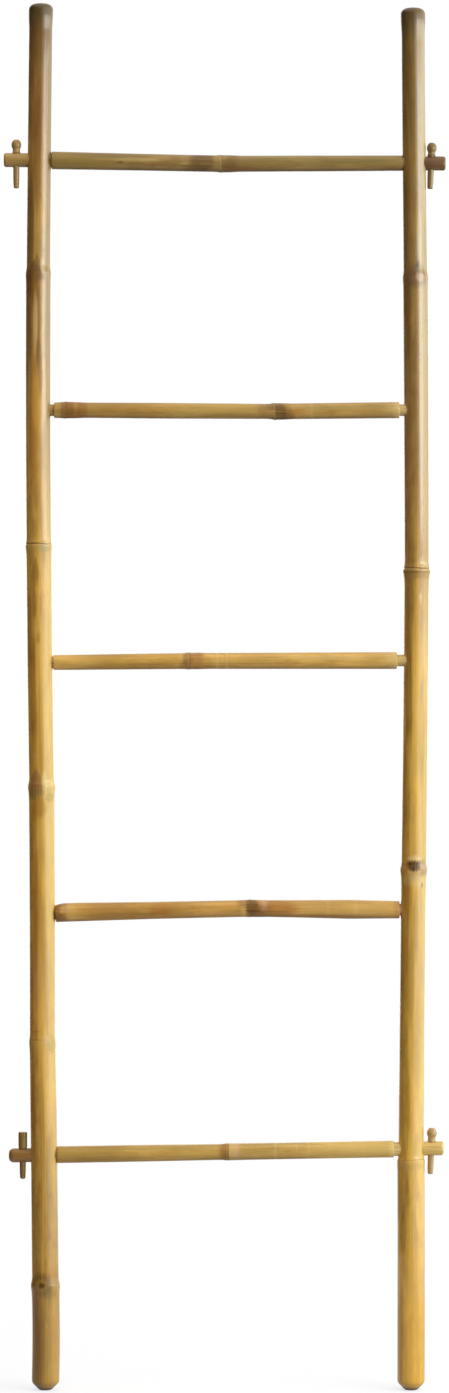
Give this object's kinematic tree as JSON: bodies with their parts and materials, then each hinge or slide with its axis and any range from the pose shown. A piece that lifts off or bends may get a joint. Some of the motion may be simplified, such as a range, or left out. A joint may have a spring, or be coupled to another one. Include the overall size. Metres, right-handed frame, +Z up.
{
  "type": "towel ladder",
  "caption": "Leaning towel ladder with hollow bamboo stiles, round cane rungs and draw pegs that lock the long tenons of the end rungs.",
  "frame": {"origin": "on the floor, under the middle of the upright ladder: the centre of the bottom of its box", "axes": "+Z up along the stiles, +X to the right along the rungs, -Y the front and +Y the wall side"},
  "size_m": [0.51, 0.034, 1.6001],
  "materials": {
    "stile_bamboo": "gloss varnish",
    "rung_cane": "satin varnish",
    "peg_wood": "satin varnish"
  },
  "bodies": {
    "frame": {"left_stile": "stile_bamboo", "right_stile": "stile_bamboo", "top_rung": "rung_cane", "bottom_rung": "rung_cane"},
    "upper_rung": {"upper_rung": "rung_cane"},
    "middle_rung": {"middle_rung": "rung_cane"},
    "lower_rung": {"lower_rung": "rung_cane"},
    "peg_top_left": {"peg_top_left": "peg_wood"},
    "peg_top_right": {"peg_top_right": "peg_wood"},
    "peg_bottom_left": {"peg_bottom_left": "peg_wood"},
    "peg_bottom_right": {"peg_bottom_right": "peg_wood"}
  },
  "joints": [
    {"name": "upper_rung_turn", "type": "hinge", "parent": "frame", "child": "upper_rung", "pos_m": [0, -0.00125, 1.131], "axis": [1, -0.0058, 0], "continuous": true},
    {"name": "middle_rung_turn", "type": "hinge", "parent": "frame", "child": "middle_rung", "pos_m": [0, -0.00125, 0.8408], "axis": [1, -0.0058, 0.0058], "continuous": true},
    {"name": "lower_rung_turn", "type": "hinge", "parent": "frame", "child": "lower_rung", "pos_m": [0, 0, 0.5525], "axis": [1, 0, 0.0079], "continuous": true},
    {"name": "peg_top_left_draw", "type": "slide", "parent": "frame", "child": "peg_top_left", "axis": [0, 0, 1], "range_m": [0, 0.043]},
    {"name": "peg_top_right_draw", "type": "slide", "parent": "frame", "child": "peg_top_right", "axis": [0.0436, 0, 0.999], "range_m": [0, 0.04]},
    {"name": "peg_bottom_left_draw", "type": "slide", "parent": "frame", "child": "peg_bottom_left", "axis": [0, 0, 1], "range_m": [0, 0.038]},
    {"name": "peg_bottom_right_draw", "type": "slide", "parent": "frame", "child": "peg_bottom_right", "axis": [0.0384, 0, 0.9993], "range_m": [0, 0.04]}
  ]
}
